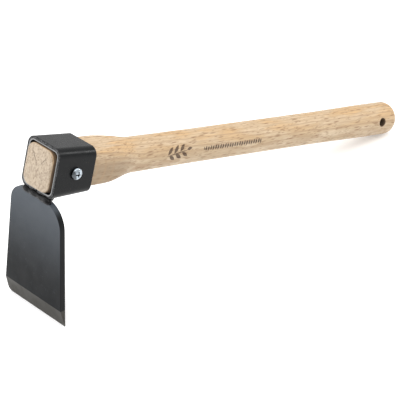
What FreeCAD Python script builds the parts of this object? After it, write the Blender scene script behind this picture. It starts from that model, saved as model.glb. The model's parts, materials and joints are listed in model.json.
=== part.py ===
import FreeCAD
import Part
import math
import os

# A short-handled hand hoe. A tapered square steel eye, bent from flat strip and closed by a seam
# weld, sits on the square head of a wooden handle. A plate blade with a ground cutting edge is
# welded under the eye's front, and one pan-head screw locks the eye to the wood.
#
# The pieces are drawn in the tool's own axes: X runs along the handle, from the eye's front face
# to the tail, Z points away from the blade, and the screw is on the -Y flank. The last placement
# lays the tool down as it rests on a flat floor, on its cutting edge and its tail. There the
# origin is on the floor under the middle of the tool's box, and +Z is up.
# All lengths are in millimetres and all angles in degrees.

# ---- Eye ----
eye_depth = 45.0              # along the handle
eye_width = 46.0              # across the flanks, outside
eye_height_front = 49.6       # outside, at the front face
eye_height_back = 45.2        # outside, at the back face: the eye tapers towards the tail
strip_thickness = 4.0
bend_radius = 8.5             # outside radius of the eye's four bends
strip_edge_rounding = 0.7
seam_gap = 1.6                # between the strip's two ends, under the eye
seam_cap_width = 5.5
seam_cap_height = 0.8
seam_end_inset = 0.6          # the seam weld stops this far inside the eye's two faces

# ---- Handle ----
handle_length = 495.2         # from the eye's front face to the end of the tail
grip_radius = 16.6            # the straight middle of the grip
neck_radius = 17.1            # where the flare has come down to the grip
tail_radius = 17.4
grip_taper_run = 79.0         # from the neck to the straight middle
tail_swell_run = 80.0         # from the straight middle to the tail's full radius
tail_plain_run = 34.0         # the full radius goes on this far, up to the tail's rounding
tail_rounding = 11.0          # the edge of the tail's end
nose_stick_out = 3.0          # wood standing proud of the eye's front face
nose_side_gap = 1.0           # wood to eye, at each flank of the nose
nose_top_gap = 0.3            # wood to eye, above and below the nose
nose_shift = 0.5              # the nose sits a little towards the +Y flank
nose_corner_radius = 9.0
nose_rounding = 1.6
seat_start = 14.0             # behind this the wood's four flats bear on the eye
head_corner_radius = 4.0      # where the head leaves the eye
head_taper_run = 17.0         # the head's taper goes on this far behind the eye
flare_length = 30.0           # convex part of the turned flare, behind the head's taper
flare_angle_start = 5.7
flare_angle_end = 15.1
neck_length = 19.0            # concave part of the flare, down to the grip

# ---- Hanging hole ----
hole_radius = 4.5
hole_to_tail = 28.2           # from the hole's axis to the end of the tail
hole_turn = 10.0              # the hole is drilled this far off level
hole_mouth_chamfer = 0.7

# ---- Blade ----
blade_length = 122.8          # top edge to cutting edge, along the plate
blade_thickness = 6.0
blade_tilt = 10.3             # the cutting edge leans this far towards the tail
blade_top_half_width = 34.9   # where the two side edges would meet the top edge
blade_edge_half_width = 41.9
blade_drop = 2.8              # from the eye's underside down to the blade's front top edge
shoulder_radius_far = 18.0    # +Y end of the top edge
shoulder_radius_near = 24.8   # -Y end
bevel_length = 18.0           # height of the ground bevel on the front face
edge_land = 0.3               # thickness left at the cutting edge
edge_corner_far = 4.5         # corner radius of the cutting edge, +Y end
edge_corner_near = 0.9        # corner radius of the cutting edge, -Y end
plate_edge_rounding = 0.5

# ---- Welds that hold the blade ----
weld_split = 3.0              # the front and rear beads meet this far into the gap
front_weld_lap = 1.0          # up the eye's front face
front_weld_leg = 2.6          # down the blade's front face
front_weld_crown = 2.3        # how far the bead stands out in front of the eye
front_weld_far_end = 19.0     # +Y end
front_weld_near_end = 21.0    # -Y end
rear_weld_reach = 13.0        # along the eye's underside, from the eye's front face
rear_weld_leg = 6.5           # down the blade's back face
rear_weld_hollow = 0.9
rear_weld_half_length = 17.0
weld_end_radius = 2.2

# ---- Locking screw ----
screw_from_front = 22.8       # from the eye's front face
screw_height = 0.8            # above the handle's axis
screw_length = 25.0           # under the head
screw_core_radius = 2.45
screw_thread_radius = 3.1
screw_pitch = 1.8
screw_tip_length = 5.0
screw_head_radius = 6.0
screw_head_side = 1.0         # straight side of the head
screw_shoulder_radius = 2.4   # between the head's side and its crown
screw_crown_radius = 10.0
recess_reach = 3.2            # cross recess, from its centre to the end of an arm
recess_arm_width = 1.5
recess_depth = 2.8
recess_floor_reach = 1.0
screw_hole_clearance = 0.3    # thread to the hole in the eye

# ---- Allowances for the cutting shapes ----
margin = 5.0                  # how far a cutting shape runs past what it cuts
plane_tolerance = 0.01        # for telling which edges lie in a plane

axis_x = FreeCAD.Vector(1, 0, 0)
axis_y = FreeCAD.Vector(0, 1, 0)
axis_z = FreeCAD.Vector(0, 0, 1)
origin = FreeCAD.Vector(0, 0, 0)


def eye_half_height(x):
    """Half the eye's outside height at the distance x behind its front face."""
    share = x / eye_depth
    return (eye_height_front * (1 - share) + eye_height_back * share) / 2


def cavity_half_height(x):
    """Half the height of the space inside the eye at x."""
    return eye_half_height(x) - strip_thickness


def cavity_half_width():
    """Half the width of the space inside the eye, which is the same all along it."""
    return eye_width / 2 - strip_thickness


def rounded_section(x, half_width, half_height, corner, shift=0.0):
    """A rectangle with round corners in the plane X = x, as a closed wire."""
    inset = corner * (1 - math.sqrt(0.5))
    edges = []
    last = None
    for y_sign, z_sign in ((1, -1), (1, 1), (-1, 1), (-1, -1)):
        y = shift + y_sign * half_width
        z = z_sign * half_height
        on_flank = FreeCAD.Vector(x, y, z - z_sign * corner)
        on_level = FreeCAD.Vector(x, y - y_sign * corner, z)
        middle = FreeCAD.Vector(x, y - y_sign * inset, z - z_sign * inset)
        start, end = (on_flank, on_level) if y_sign == z_sign else (on_level, on_flank)
        if last is None:
            first = start
        else:
            edges.append(Part.makeLine(last, start))
        edges.append(Part.Arc(start, middle, end).toShape())
        last = end
    edges.append(Part.makeLine(last, first))
    return Part.Wire(edges)


def side_prism(edges, y_from, y_to):
    """The outline made by edges in the plane Y = 0, carried from y_from to y_to."""
    face = Part.Face(Part.Wire(edges))
    face.translate(axis_y * y_from)
    return face.extrude(axis_y * (y_to - y_from))


def point(x, z):
    """A point of a side outline."""
    return FreeCAD.Vector(x, 0, z)


def edges_in_planes(shape, planes):
    """The edges of shape that lie wholly in one of the planes X = value."""
    found = []
    for edge in shape.Edges:
        box = edge.BoundBox
        if any(max(abs(box.XMin - x), abs(box.XMax - x)) < plane_tolerance for x in planes):
            found.append(edge)
    return found


# ---- Eye ----

def eye_ring():
    """The bent strip as a closed ring, before its ends are parted."""
    inner_radius = bend_radius - strip_thickness
    outside = []
    inside = []
    for x in (0.0, eye_depth):
        outside.append(rounded_section(x, eye_width / 2, eye_half_height(x), bend_radius))
    for x in (0.0, eye_depth):
        inside.append(rounded_section(x, cavity_half_width(), cavity_half_height(x), inner_radius))
    ring = Part.makeLoft(outside, True, True).cut(Part.makeLoft(inside, True, True))
    return ring.makeFillet(strip_edge_rounding, edges_in_planes(ring, (0.0, eye_depth)))


def seam_section(x):
    """The seam weld at x: a root that fills the gap, and a low cap under it."""
    top = -cavity_half_height(x)
    bottom = -eye_half_height(x)
    root = seam_gap / 2
    cap = seam_cap_width / 2
    corners = [(root, top), (root, bottom), (cap, bottom)]
    right = [FreeCAD.Vector(x, y, z) for y, z in corners]
    left = [FreeCAD.Vector(x, -y, z) for y, z in reversed(corners)]
    crown = FreeCAD.Vector(x, 0, bottom - seam_cap_height)
    edges = [Part.makeLine(a, b) for a, b in zip(right, right[1:])]
    edges.append(Part.Arc(right[-1], crown, left[0]).toShape())
    edges += [Part.makeLine(a, b) for a, b in zip(left, left[1:])]
    edges.append(Part.makeLine(left[-1], right[0]))
    return Part.Wire(edges)


def make_eye_seam_weld():
    """The weld that joins the strip's two ends under the eye."""
    ends = (seam_end_inset, eye_depth - seam_end_inset)
    return Part.makeLoft([seam_section(x) for x in ends], True, True)


def make_eye_band():
    """The bent strip, parted by the seam gap, with the screw's hole in its -Y flank."""
    gap_box = Part.makeBox(eye_depth + 2 * margin, seam_gap, eye_height_front / 2,
                           FreeCAD.Vector(-margin, -seam_gap / 2, -eye_height_front / 2 - margin))
    hole = Part.makeCylinder(screw_thread_radius + screw_hole_clearance, strip_thickness + margin,
                             screw_seat() - axis_y * (margin / 2), axis_y)
    return eye_ring().cut(gap_box).cut(hole)


# ---- Handle ----

def slope_arc(start, angle_from, angle_to, run):
    """An arc that begins at start, falls by angle_from there and by angle_to after run along X."""
    a, b = math.radians(angle_from), math.radians(angle_to)
    middle = (a + b) / 2
    radius = run / (math.sin(b) - math.sin(a))
    points = []
    for angle in (middle, b):
        along = radius * (math.sin(angle) - math.sin(a))
        down = radius * (math.cos(a) - math.cos(angle))
        points.append(start + FreeCAD.Vector(along, 0, -down))
    return Part.Arc(start, points[0], points[1]).toShape()


def arc_fall(angle_from, angle_to, run):
    """How far a slope_arc falls over its run."""
    a, b = math.radians(angle_from), math.radians(angle_to)
    return run * (math.cos(a) - math.cos(b)) / (math.sin(b) - math.sin(a))


def flare_start():
    """Where the turned flare begins, behind the eye."""
    return eye_depth + head_taper_run


def neck_end():
    """Where the flare has come down to the grip."""
    return flare_start() + flare_length + neck_length


def grip_range():
    """Where the straight middle of the grip begins and ends."""
    return neck_end() + grip_taper_run, tail_range()[0] - tail_swell_run


def tail_range():
    """Where the tail's full radius begins and ends."""
    end = handle_length - tail_rounding
    return end - tail_plain_run, end


def turned_body():
    """The handle as the lathe leaves it: flare, neck, slim grip and a thicker round tail."""
    neck_top = neck_radius + arc_fall(flare_angle_end, 0, neck_length)
    flare_top = neck_top + arc_fall(flare_angle_start, flare_angle_end, flare_length)
    front = -nose_stick_out - margin
    rise = (flare_start() - front) * math.tan(math.radians(flare_angle_start))
    begin = point(flare_start(), flare_top)
    neck_begin = point(flare_start() + flare_length, neck_top)
    grip_from, grip_to = grip_range()
    tail_from, tail_to = tail_range()
    tail_stop = point(tail_to, tail_radius)
    along = [point(neck_end(), neck_radius), point(grip_from, grip_radius),
             point(grip_to, grip_radius), point(tail_from, tail_radius), tail_stop]
    tail_flat = point(handle_length, tail_radius - tail_rounding)
    round_mid = tail_stop + FreeCAD.Vector(tail_rounding * math.sqrt(0.5), 0,
                                           -tail_rounding * (1 - math.sqrt(0.5)))
    edges = [
        Part.makeLine(point(front, 0), point(front, flare_top + rise)),
        Part.makeLine(point(front, flare_top + rise), begin),
        slope_arc(begin, flare_angle_start, flare_angle_end, flare_length),
        slope_arc(neck_begin, flare_angle_end, 0, neck_length),
    ]
    edges += [Part.makeLine(a, b) for a, b in zip(along, along[1:])]
    edges += [
        Part.Arc(tail_stop, round_mid, tail_flat).toShape(),
        Part.makeLine(tail_flat, point(handle_length, 0)),
        Part.makeLine(point(handle_length, 0), point(front, 0)),
    ]
    return Part.Face(Part.Wire(edges)).revolve(origin, axis_x, 360)


def squared_body():
    """The square head, tapered to fit the eye, carried on past the tail."""
    width = cavity_half_width()
    share = (eye_depth - seat_start) / (flare_start() - seat_start)
    seat_corner = head_corner_radius + (nose_corner_radius - head_corner_radius) * share
    last_height = cavity_half_height(flare_start())
    sections = [
        rounded_section(-nose_stick_out, width - nose_side_gap,
                        cavity_half_height(0.0) - nose_top_gap, nose_corner_radius, nose_shift),
        rounded_section(seat_start, width, cavity_half_height(seat_start), seat_corner),
        rounded_section(flare_start(), width, last_height, head_corner_radius),
        rounded_section(handle_length + margin, width, last_height, head_corner_radius),
    ]
    return Part.makeLoft(sections, True, True)


def hole_direction():
    """The hanging hole's axis, pointing out of its upper mouth on the -Y side."""
    turn = math.radians(hole_turn)
    return FreeCAD.Vector(0, -math.cos(turn), math.sin(turn))


def hole_centre():
    """Where the hanging hole crosses the handle's axis."""
    return FreeCAD.Vector(handle_length - hole_to_tail, 0, 0)


def hanging_hole():
    """The drill through the tail, with a small chamfer at each mouth."""
    reach = tail_radius + margin
    drill = Part.makeCylinder(hole_radius, 2 * reach, hole_centre() - hole_direction() * reach,
                              hole_direction())
    mouth_radius = hole_radius + hole_mouth_chamfer
    for way in (hole_direction(), -hole_direction()):
        floor = hole_centre() + way * (tail_radius - hole_mouth_chamfer)
        height = margin
        chamfer = Part.makeCone(hole_radius, hole_radius + height, height, floor, way)
        collar = Part.makeCylinder(mouth_radius, margin, floor, way)
        drill = drill.fuse(chamfer.common(collar))
    return drill


def make_handle():
    """The whole wooden handle, with its hanging hole and the screw's pilot hole."""
    handle = turned_body().common(squared_body())
    handle = handle.makeFillet(nose_rounding, edges_in_planes(handle, (-nose_stick_out,)))
    return handle.cut(hanging_hole()).cut(onto_flank(screw_core()))


# ---- Blade ----

def blade_outline():
    """The plate's outline, from the front: y across, and z down from its top edge."""
    lean = math.atan2(blade_edge_half_width - blade_top_half_width, blade_length)
    shoulders = {}
    for side, radius in ((1, shoulder_radius_far), (-1, shoulder_radius_near)):
        centre_y = blade_top_half_width + math.tan(lean) * radius - radius / math.cos(lean)
        places = []
        for angle in (math.pi / 2, (math.pi / 2 + lean) / 2, lean):
            y = centre_y + radius * math.cos(angle)
            places.append(FreeCAD.Vector(0, side * y, radius * math.sin(angle) - radius))
        shoulders[side] = places
    far, near = shoulders[1], shoulders[-1]
    far_corner = FreeCAD.Vector(0, blade_edge_half_width, -blade_length)
    near_corner = FreeCAD.Vector(0, -blade_edge_half_width, -blade_length)
    edges = [
        Part.makeLine(near[0], far[0]),
        Part.Arc(*far).toShape(),
        Part.makeLine(far[2], far_corner),
        Part.makeLine(far_corner, near_corner),
        Part.makeLine(near_corner, near[2]),
        Part.Arc(*reversed(near)).toShape(),
    ]
    return Part.Wire(edges)


def edge_at(shape, y, z):
    """The edge of shape that runs along X nearest to the place y, z."""
    best = None
    for edge in shape.Edges:
        box = edge.BoundBox
        if box.XLength < plane_tolerance or max(box.YLength, box.ZLength) > plane_tolerance:
            continue
        distance = math.hypot(box.Center.y - y, box.Center.z - z)
        if best is None or distance < best[0]:
            best = (distance, edge)
    return best[1]


def blade_plate():
    """The flat plate, upright, with its front face at X = 0 and its top edge at Z = 0."""
    plate = Part.Face(blade_outline()).extrude(axis_x * blade_thickness)
    for side, radius in ((1, edge_corner_far), (-1, edge_corner_near)):
        corner = edge_at(plate, side * blade_edge_half_width, -blade_length)
        plate = plate.makeFillet(radius, [corner])
    return plate


def bevel_cutter():
    """What the grinder takes off the front face to leave the cutting edge."""
    run = blade_thickness - edge_land
    past = margin / bevel_length
    start = point(-run * past, -blade_length + bevel_length + margin)
    end = point(run + run * past, -blade_length - margin)
    corner = point(start.x - margin, end.z)
    edges = [Part.makeLine(start, end), Part.makeLine(end, corner),
             Part.makeLine(corner, start)]
    reach = blade_edge_half_width + margin
    return side_prism(edges, -reach, reach)


def rounded_plate():
    """The plate with the sharpness taken off the edges of its two faces, above the bevel."""
    plate = blade_plate()
    rims = [edge for edge in edges_in_planes(plate, (0.0, blade_thickness))
            if edge.BoundBox.ZMax > -blade_length + bevel_length + plane_tolerance]
    return plate.makeFillet(plate_edge_rounding, rims)


def tilt_blade(shape):
    """Puts a shape drawn with the upright plate where the tilted plate hangs."""
    shape.rotate(origin, axis_y, -blade_tilt)
    shape.translate(FreeCAD.Vector(0, 0, -eye_half_height(0.0) - blade_drop))
    return shape


def make_blade():
    """The blade: a tapered plate with round shoulders and a bevel on its front face."""
    return tilt_blade(rounded_plate().cut(bevel_cutter()))


# ---- Welds ----

def on_blade(depth, down):
    """A point of the side outline: depth behind the blade's front face, down from its top."""
    mark = tilt_blade(Part.Vertex(depth, 0, -down))
    return mark.Point


def weld_bar(edges, y_from, y_to, x_from, x_to):
    """A weld bead with its side outline made by edges, and round ends seen from above."""
    bead = side_prism(edges, y_from, y_to)
    height = eye_height_front + blade_length
    slab = Part.makeBox(x_to - x_from, y_to - y_from, height,
                        FreeCAD.Vector(x_from, y_from, -height))
    upright = [edge for edge in slab.Edges if edge.BoundBox.ZLength > height / 2]
    return bead.common(slab.makeFillet(weld_end_radius, upright))


def cut_welds_free(weld, neighbours):
    """The weld without the metal of the pieces it joins."""
    for shape in neighbours:
        weld = weld.cut(shape)
    return weld


def make_front_weld(neighbours):
    """The bead along the blade's front top edge, lapping onto the eye's front face."""
    top = point(0.0, -eye_half_height(0.0) + front_weld_lap)
    foot = on_blade(0.0, front_weld_leg)
    crown = point(-front_weld_crown, (top.z + foot.z) / 2)
    low_back = point(weld_split, foot.z)
    high_back = point(weld_split, top.z)
    edges = [Part.Arc(top, crown, foot).toShape(), Part.makeLine(foot, low_back),
             Part.makeLine(low_back, high_back), Part.makeLine(high_back, top)]
    bar = weld_bar(edges, -front_weld_near_end, front_weld_far_end,
                   -front_weld_crown, weld_split)
    return cut_welds_free(bar, neighbours)


def make_rear_weld(neighbours):
    """The hollow fillet behind the blade, under the eye."""
    under = point(rear_weld_reach, -eye_half_height(rear_weld_reach))
    foot = on_blade(blade_thickness, rear_weld_leg)
    chord = foot - under
    inward = FreeCAD.Vector(chord.z, 0, -chord.x).normalize()
    middle = (under + foot) * 0.5 + inward * rear_weld_hollow
    low_front = point(weld_split, foot.z)
    high_front = point(weld_split, -eye_half_height(0.0) + strip_thickness / 2)
    high_back = point(rear_weld_reach, high_front.z)
    edges = [Part.Arc(under, middle, foot).toShape(), Part.makeLine(foot, low_front),
             Part.makeLine(low_front, high_front), Part.makeLine(high_front, high_back),
             Part.makeLine(high_back, under)]
    bar = weld_bar(edges, -rear_weld_half_length, rear_weld_half_length,
                   weld_split, rear_weld_reach)
    return cut_welds_free(bar, neighbours)


# ---- Locking screw, drawn standing on its tip with its seat at Z = 0 ----

def screw_seat():
    """Where the screw's head bears on the eye's -Y flank."""
    return FreeCAD.Vector(screw_from_front, -eye_width / 2, screw_height)


def onto_flank(shape):
    """Turns a shape drawn with the upright screw so that its head faces -Y, and seats it."""
    shape.rotate(origin, axis_x, 90)
    shape.translate(screw_seat())
    return shape


def screw_core():
    """The screw's plain core with its cone point, which is also the pilot hole's shape."""
    straight = screw_length - screw_tip_length
    core = Part.makeCylinder(screw_core_radius, straight, axis_z * -straight)
    tip = Part.makeCone(0, screw_core_radius, screw_tip_length, axis_z * -screw_length)
    return core.fuse(tip).removeSplitter()


def screw_thread():
    """The helical thread, from just under the head to the start of the cone point."""
    root = screw_core_radius - (screw_thread_radius - screw_core_radius) / 4
    half_root = screw_pitch / 4
    half_crest = screw_pitch / 20
    height = screw_length - screw_tip_length - 2 * screw_pitch
    helix = Part.makeHelix(screw_pitch, height, root)
    corners = [(root, -half_root), (screw_thread_radius, -half_crest),
               (screw_thread_radius, half_crest), (root, half_root), (root, -half_root)]
    tooth = Part.makePolygon([FreeCAD.Vector(x, 0, z) for x, z in corners])
    thread = Part.Wire(helix.Edges).makePipeShell([tooth], True, True)
    thread.translate(axis_z * (screw_pitch - screw_length + screw_tip_length))
    return thread


def crown_centre():
    """The centre of the head's spherical crown, on the screw's axis."""
    across = screw_head_radius - screw_shoulder_radius
    slant = screw_crown_radius - screw_shoulder_radius
    return point(0, screw_head_side - math.sqrt(slant ** 2 - across ** 2))


def pan_head():
    """The solid head: straight side, round shoulder and spherical crown."""
    shoulder = point(screw_head_radius - screw_shoulder_radius, screw_head_side)
    lift = math.atan2(shoulder.z - crown_centre().z, shoulder.x)

    def around(centre, radius, angle):
        return centre + point(radius * math.cos(angle), radius * math.sin(angle))

    rim = point(screw_head_radius, 0)
    side_top = around(shoulder, screw_shoulder_radius, 0)
    shoulder_middle = around(shoulder, screw_shoulder_radius, lift / 2)
    crown_rim = around(crown_centre(), screw_crown_radius, lift)
    crown_middle = around(crown_centre(), screw_crown_radius, (lift + math.pi / 2) / 2)
    apex = around(crown_centre(), screw_crown_radius, math.pi / 2)
    edges = [Part.makeLine(origin, rim), Part.makeLine(rim, side_top),
             Part.Arc(side_top, shoulder_middle, crown_rim).toShape(),
             Part.Arc(crown_rim, crown_middle, apex).toShape(), Part.makeLine(apex, origin)]
    return Part.Face(Part.Wire(edges)).revolve(origin, axis_z, 360)


def screw_head():
    """The pan head with its cross recess."""
    top = crown_centre().z + screw_crown_radius
    floor = axis_z * (top - recess_depth)
    arms = []
    for turn in (0, 90):
        arm = Part.makeBox(2 * recess_reach, recess_arm_width, recess_depth,
                           floor - FreeCAD.Vector(recess_reach, recess_arm_width / 2, 0))
        arm.rotate(origin, axis_z, turn)
        arms.append(arm)
    taper = Part.makeCone(recess_floor_reach, recess_reach, recess_depth, floor)
    return pan_head().cut(arms[0].fuse(arms[1]).common(taper))


def make_flank_screw():
    """The pan-head screw that locks the eye to the handle."""
    screw = screw_core().fuse(screw_thread()).fuse(screw_head())
    return onto_flank(screw.removeSplitter())


# ---- The tool at rest ----

def rest_angle():
    """How far the tool turns about Y to lie on its cutting edge and its tail."""
    edge = on_blade(blade_thickness, blade_length)
    along = handle_length - tail_rounding - edge.x
    above = tail_rounding - tail_radius - edge.z
    slope = math.atan2(above, along) - math.asin(tail_rounding / math.hypot(along, above))
    return math.degrees(slope)


def make_pieces():
    """Every piece in the tool's own axes, by node name."""
    eye_band = make_eye_band()
    seam = make_eye_seam_weld()
    blade = make_blade()
    neighbours = (eye_band, seam, blade)
    return {
        "handle": make_handle(),
        "eye_band": eye_band,
        "eye_seam_weld": seam,
        "blade": blade,
        "front_weld": make_front_weld(neighbours),
        "rear_weld": make_rear_weld(neighbours),
        "flank_screw": make_flank_screw(),
    }


def rest_placement(pieces):
    """The turn and shift that lay the tool on the floor, its middle over the origin.

    The tool's own middle plane stays in the plane Y = 0.
    """
    turn = FreeCAD.Placement(origin, FreeCAD.Rotation(axis_y, rest_angle()))
    turned = Part.makeCompound([shape.transformGeometry(turn.toMatrix())
                                for shape in pieces.values()])
    box = turned.optimalBoundingBox(False, False)
    shift = FreeCAD.Vector(-box.Center.x, 0, -box.ZMin)
    return FreeCAD.Placement(shift, FreeCAD.Rotation(axis_y, rest_angle()))


def main():
    """Builds every piece, lays the tool down and writes one STEP file for each piece."""
    os.makedirs("parts", exist_ok=True)
    pieces = make_pieces()
    placement = rest_placement(pieces)
    for name, shape in pieces.items():
        solid = shape.Solids[0]
        solid.Placement = placement.multiply(solid.Placement)
        print(name, "solids", len(shape.Solids), "valid", solid.isValid(),
              "volume", round(solid.Volume, 1))
        solid.exportStep("parts/" + name + ".step")


if __name__ == "__main__":
    main()
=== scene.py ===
"""The looks of a short-handled hand hoe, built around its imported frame.

The pieces are shaped in millimetres in the tool's own axes: X runs along the handle from the
eye's front face to the tail, Z points away from the blade, and the screw is on the -Y flank.
Each finished mesh is then laid into the frame, in metres, where the tool rests on its cutting
edge and its tail. Patterns in the finishes are laid out in the same millimetres.
"""
import json
import logging
import math
from collections.abc import Callable
from dataclasses import dataclass
from enum import Enum

import bmesh
import bpy
from mathutils import Euler, Matrix, Vector


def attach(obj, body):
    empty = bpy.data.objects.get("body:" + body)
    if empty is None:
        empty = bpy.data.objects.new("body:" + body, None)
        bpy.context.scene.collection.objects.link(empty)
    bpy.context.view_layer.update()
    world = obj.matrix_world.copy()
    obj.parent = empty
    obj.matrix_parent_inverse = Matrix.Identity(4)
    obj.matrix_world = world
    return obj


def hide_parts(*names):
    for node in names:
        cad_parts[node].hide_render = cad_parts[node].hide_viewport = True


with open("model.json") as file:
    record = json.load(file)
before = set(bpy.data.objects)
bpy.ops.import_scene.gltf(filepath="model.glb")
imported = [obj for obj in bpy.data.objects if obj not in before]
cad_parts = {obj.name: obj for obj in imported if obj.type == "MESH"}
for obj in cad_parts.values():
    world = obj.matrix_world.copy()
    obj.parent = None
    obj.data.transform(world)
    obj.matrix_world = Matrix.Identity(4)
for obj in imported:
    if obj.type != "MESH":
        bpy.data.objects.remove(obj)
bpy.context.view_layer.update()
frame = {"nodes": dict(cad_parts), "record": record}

MM = 0.001
BODY = "root"

log = logging.getLogger("hand_hoe")

Socket = bpy.types.NodeSocket
Value = float | Socket
Colour = tuple[float, float, float]
Place = tuple[float, float, float]
Span = tuple[float, float]


class Slot(Enum):
    """The record's material slots for the pieces that are made here."""

    WOOD = "handle_wood"
    WELD = "weld_paint"


@dataclass(frozen=True)
class ToolAxes:
    """The tool's own axes, as the frame holds them, and the sizes that pieces share.

    Attributes:
        to_frame: Takes tool millimetres to frame metres.
        eye_depth: The eye's depth along the handle.
        eye_fall: How far the eye's top and underside each close in, per millimetre of depth.
        hole_from_front: From the eye's front face to the hanging hole.
        hole_turn: How far off level the hole is drilled, in degrees.
        screw_seat: Where the screw's head sits on the eye's flank.
        blade_top: The height of the blade's top edge, at its front face.
        blade_tilt: How far the blade leans, in degrees.
        blade_thickness: The thickness of its plate.
    """

    to_frame: Matrix
    eye_depth: float = 45.0
    eye_fall: float = 2.2 / 45.0
    hole_from_front: float = 467.0
    hole_turn: float = 10.0
    screw_seat: Place = (22.8, -23.0, 0.8)
    blade_top: float = -27.6
    blade_tilt: float = 10.3
    blade_thickness: float = 6.0

    @classmethod
    def from_record(cls, record: dict) -> "ToolAxes":
        """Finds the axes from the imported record's mounts.

        Args:
            record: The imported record.

        Returns:
            The tool's axes.
        """
        mounts = {mount["name"]: mount for mount in record["mounts"]}
        along = Vector(mounts["grip"]["axis"]).normalized()
        across = Vector((0.0, 1.0, 0.0))
        turn = Matrix((along, across, along.cross(across))).transposed().to_4x4()
        origin = Vector(mounts["hang_hole"]["pos_m"]) - along * cls.hole_from_front * MM
        return cls(Matrix.Translation(origin) @ turn @ Matrix.Scale(MM, 4))


# ---- Meshes ----

def lerp(start: float, end: float, share: float) -> float:
    """The value a share of the way from start to end."""
    return start + (end - start) * share


def ease(value: float, start: float, end: float) -> float:
    """0 at start and 1 at end, with a smooth rise between them."""
    share = min(max((value - start) / (end - start), 0.0), 1.0)
    return share * share * (3.0 - 2.0 * share)


def next_ring(bm: bmesh.types.BMesh, ring: list[bmesh.types.BMVert]) -> list[bmesh.types.BMVert]:
    """Extrudes a closed ring of vertices.

    Args:
        bm: The mesh that holds the ring.
        ring: The ring's vertices, in order.

    Returns:
        The new ring's vertices, in the same order.
    """
    edges = [bm.edges.get((a, b)) for a, b in zip(ring, ring[1:] + ring[:1])]
    made = bmesh.ops.extrude_edge_only(bm, edges=edges)["geom"]
    fresh = {item for item in made if isinstance(item, bmesh.types.BMVert)}
    return [next(e.other_vert(v) for e in v.link_edges if e.other_vert(v) in fresh)
            for v in ring]


def close_ring(bm: bmesh.types.BMesh, ring: list[bmesh.types.BMVert], rounds: int) -> None:
    """Fills a ring with a flat end of inset rings round a pole.

    Args:
        bm: The mesh that holds the ring.
        ring: The ring's vertices, in order.
        rounds: How many inset rings the end has.
    """
    face = bm.faces.new(ring)
    centre = face.calc_center_median()
    reach = min((vert.co - centre).length for vert in ring)
    for _ in range(rounds):
        bmesh.ops.inset_region(bm, faces=[face], thickness=reach / (rounds + 1),
                               use_even_offset=False)
    bmesh.ops.poke(bm, faces=[face])


def loft(rings: int, segments: int, place: Callable[[int, float], Vector],
         end_rounds: int = 0) -> bmesh.types.BMesh:
    """A closed form made of rings that follow one another.

    Args:
        rings: How many rings there are.
        segments: How many vertices a ring has.
        place: Gives the place of a vertex from its ring's number and its angle.
        end_rounds: How many inset rings each end has.

    Returns:
        The closed mesh.
    """
    bm = bmesh.new()
    bmesh.ops.create_circle(bm, cap_ends=False, segments=segments, radius=1.0)
    ring = sorted(bm.verts, key=lambda vert: math.atan2(vert.co.y, vert.co.x) % math.tau)
    angles = [math.atan2(vert.co.y, vert.co.x) for vert in ring]
    first = ring
    for number in range(rings):
        if number:
            ring = next_ring(bm, ring)
        for vert, angle in zip(ring, angles):
            vert.co = place(number, angle)
    close_ring(bm, first, end_rounds)
    close_ring(bm, ring, end_rounds)
    bmesh.ops.recalc_face_normals(bm, faces=bm.faces[:])
    return bm


def spun(profile: list[tuple[float, float]], segments: int, axis: Vector,
         base: Vector) -> bmesh.types.BMesh:
    """A turned form.

    Args:
        profile: Its outline as (distance along the axis, radius), from pole to pole.
        segments: How many steps a full turn has.
        axis: The direction of the axis.
        base: Where the axis starts.

    Returns:
        The closed mesh.
    """
    bm = bmesh.new()
    line = [bm.verts.new((radius, 0.0, along)) for along, radius in profile]
    edges = [bm.edges.new(pair) for pair in zip(line, line[1:])]
    bmesh.ops.spin(bm, geom=line + edges, cent=(0.0, 0.0, 0.0), axis=(0.0, 0.0, 1.0),
                   angle=math.tau, steps=segments, use_merge=True)
    bmesh.ops.remove_doubles(bm, verts=bm.verts[:], dist=1e-5)
    bmesh.ops.recalc_face_normals(bm, faces=bm.faces[:])
    bmesh.ops.transform(bm, matrix=axis.to_track_quat("Z", "Y").to_matrix().to_4x4(),
                        verts=bm.verts[:])
    bmesh.ops.translate(bm, vec=base, verts=bm.verts[:])
    return bm


def as_object(name: str, bm: bmesh.types.BMesh) -> bpy.types.Object:
    """Puts a finished bmesh into a new object of the scene.

    Args:
        name: The object's name.
        bm: The mesh, which is freed.

    Returns:
        The new object.
    """
    mesh = bpy.data.meshes.new(name)
    bm.to_mesh(mesh)
    bm.free()
    piece = bpy.data.objects.new(name, mesh)
    bpy.context.scene.collection.objects.link(piece)
    return piece


def carve(piece: bpy.types.Object, cutter: bpy.types.Object) -> None:
    """Takes the cutter's form out of the piece, and removes the cutter.

    Args:
        piece: What is cut.
        cutter: The closed form that cuts it.
    """
    cut = piece.modifiers.new("carve", "BOOLEAN")
    cut.operation = "DIFFERENCE"
    cut.solver = "EXACT"
    cut.object = cutter
    depsgraph = bpy.context.evaluated_depsgraph_get()
    carved = bpy.data.meshes.new_from_object(piece.evaluated_get(depsgraph))
    piece.modifiers.clear()
    piece.data = carved
    bpy.data.objects.remove(cutter)


def lay_down(piece: bpy.types.Object, axes: ToolAxes, sharp_angle: float) -> None:
    """Takes a piece's mesh from tool millimetres into the frame, and shades it.

    Args:
        piece: The piece.
        axes: The tool's axes.
        sharp_angle: Edges that turn by more than this many degrees stay sharp.
    """
    piece.data.transform(axes.to_frame)
    piece.data.shade_smooth()
    piece.data.set_sharp_from_angle(angle=math.radians(sharp_angle))


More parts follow.
